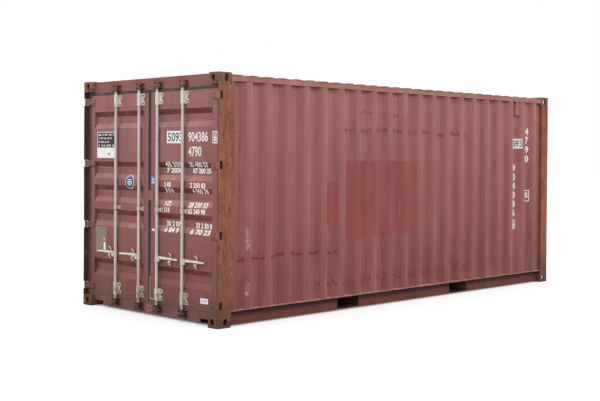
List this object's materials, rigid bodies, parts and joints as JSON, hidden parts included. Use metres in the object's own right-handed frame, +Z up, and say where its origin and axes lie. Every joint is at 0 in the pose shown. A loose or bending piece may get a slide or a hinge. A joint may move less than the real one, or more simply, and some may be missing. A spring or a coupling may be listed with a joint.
{
  "type": "shipping container",
  "caption": "Steel freight container with folded walls, two hinged end doors with lock rods, a plywood floor and corner castings.",
  "frame": {"origin": "middle of the underside, on the ground plane", "axes": "+Z up, length along Y, the doors face -Y, +X is the right side seen from in front of the doors"},
  "size_m": [2.438, 6.058, 2.591],
  "materials": {
    "red_paint": "weathered",
    "casting_steel": "rusty",
    "weathered_steel": "rusty",
    "galvanised_steel": "galvanised, dull",
    "door_rubber": "matte",
    "plywood": "oiled",
    "underside_steel": "bitumen coated"
  },
  "bodies": {
    "container_body": {"bottom_side_rails": "red_paint", "castings_bottom": "casting_steel", "castings_top": "casting_steel", "cross_members": "underside_steel", "door_header": "red_paint", "door_posts": "weathered_steel", "door_sill": "red_paint", "floor": "plywood", "fork_pockets": "underside_steel", "front_posts": "red_paint", "front_rails": "red_paint", "front_wall": "red_paint", "hinge_lugs": "weathered_steel", "lock_keepers": "weathered_steel", "roof": "red_paint", "side_walls": "red_paint", "top_side_rails": "red_paint", "wall_vents": "red_paint"},
    "right_door": {"right_door_brackets": "galvanised_steel", "right_door_catches": "galvanised_steel", "right_door_fittings": "red_paint", "right_door_gasket": "door_rubber", "right_door_hinges": "red_paint", "right_door_panel": "red_paint", "right_door_rails": "red_paint", "right_door_stiles": "red_paint"},
    "left_door": {"left_door_brackets": "galvanised_steel", "left_door_catches": "galvanised_steel", "left_door_gasket": "door_rubber", "left_door_hinges": "red_paint", "left_door_panel": "red_paint", "left_door_rails": "red_paint", "left_door_stiles": "red_paint"},
    "rod_1": {"lock_rod_1": "galvanised_steel", "rod_fittings_1": "weathered_steel"},
    "handle_1": {"lock_handle_1": "galvanised_steel"},
    "rod_2": {"lock_rod_2": "galvanised_steel", "rod_fittings_2": "weathered_steel"},
    "handle_2": {"lock_handle_2": "galvanised_steel"},
    "rod_3": {"lock_rod_3": "galvanised_steel", "rod_fittings_3": "weathered_steel"},
    "handle_3": {"lock_handle_3": "galvanised_steel"},
    "rod_4": {"lock_rod_4": "galvanised_steel", "rod_fittings_4": "weathered_steel"},
    "handle_4": {"lock_handle_4": "galvanised_steel"}
  },
  "joints": [
    {"name": "right_door_hinge", "type": "hinge", "parent": "container_body", "child": "right_door", "pos_m": [1.197, -3.009, 1.3], "axis": [0, 0, 1], "range_deg": [0, 260]},
    {"name": "left_door_hinge", "type": "hinge", "parent": "container_body", "child": "left_door", "pos_m": [-1.197, -3.009, 1.3], "axis": [0, 0, -1], "range_deg": [0, 260]},
    {"name": "rod_1_turn", "type": "hinge", "parent": "left_door", "child": "rod_1", "pos_m": [-0.605, -3.001, 1.3], "axis": [0, 0, -1], "range_deg": [-100, 0]},
    {"name": "rod_2_turn", "type": "hinge", "parent": "left_door", "child": "rod_2", "pos_m": [-0.165, -3.001, 1.3], "axis": [0, 0, -1], "range_deg": [-100, 0]},
    {"name": "rod_3_turn", "type": "hinge", "parent": "right_door", "child": "rod_3", "pos_m": [0.165, -3.001, 1.3], "axis": [0, 0, 1], "range_deg": [-100, 0]},
    {"name": "rod_4_turn", "type": "hinge", "parent": "right_door", "child": "rod_4", "pos_m": [0.605, -3.001, 1.3], "axis": [0, 0, 1], "range_deg": [-100, 0]},
    {"name": "handle_1_lift", "type": "hinge", "parent": "rod_1", "child": "handle_1", "pos_m": [-0.639, -3.004, 0.632], "axis": [0, 1, 0], "range_deg": [0, 8]},
    {"name": "handle_2_lift", "type": "hinge", "parent": "rod_2", "child": "handle_2", "pos_m": [-0.199, -3.004, 0.632], "axis": [0, 1, 0], "range_deg": [0, 8]},
    {"name": "handle_3_lift", "type": "hinge", "parent": "rod_3", "child": "handle_3", "pos_m": [0.199, -3.004, 0.632], "axis": [0, -1, 0], "range_deg": [0, 8]},
    {"name": "handle_4_lift", "type": "hinge", "parent": "rod_4", "child": "handle_4", "pos_m": [0.639, -3.004, 0.632], "axis": [0, -1, 0], "range_deg": [0, 8]}
  ]
}
